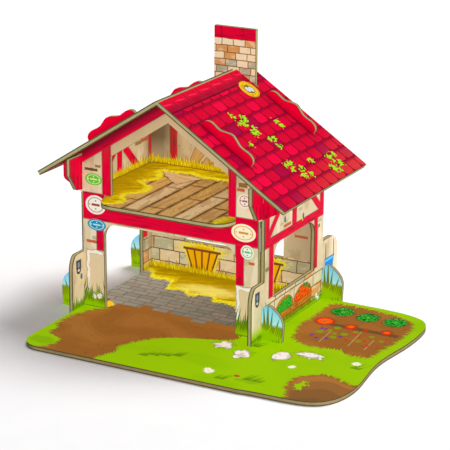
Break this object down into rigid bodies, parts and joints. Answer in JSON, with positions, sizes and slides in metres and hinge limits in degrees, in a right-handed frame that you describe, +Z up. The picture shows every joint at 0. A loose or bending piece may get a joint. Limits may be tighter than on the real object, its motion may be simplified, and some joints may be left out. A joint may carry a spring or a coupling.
{
  "type": "toy barn",
  "caption": "Open-fronted toy barn of flat boards that slot together, on a free-form lawn board, with a loft floor, side doorway, windows, a chimney and a lift-off pitched roof.",
  "frame": {"origin": "on the table, under the middle of the house", "axes": "+X to the right of somebody who faces the doorway, +Y to the rear, +Z up"},
  "size_m": [0.3932, 0.3085, 0.294],
  "materials": {
    "lawn_print": "fibreboard, printed matt on its faces, bare on its cut edges",
    "wall_print": "fibreboard, printed matt on its faces, bare on its cut edges",
    "plank_print": "fibreboard, printed matt on its faces, bare on its cut edges",
    "tile_print": "fibreboard, printed matt on its faces, bare on its cut edges"
  },
  "bodies": {
    "house": {"base_board": "lawn_print", "front_gable_wall": "wall_print", "rear_gable_wall": "wall_print", "left_side_wall": "wall_print", "right_side_wall": "wall_print", "loft_floor": "plank_print"},
    "left_roof": {"left_roof_panel": "tile_print"},
    "right_roof": {"right_roof_panel": "tile_print"}
  },
  "joints": [
    {"name": "left_roof_lift", "type": "slide", "parent": "house", "child": "left_roof", "axis": [-0.5446, 0, 0.8387], "range_m": [0, 0.06]},
    {"name": "right_roof_lift", "type": "slide", "parent": "house", "child": "right_roof", "axis": [0.5446, 0, 0.8387], "range_m": [0, 0.06]}
  ]
}
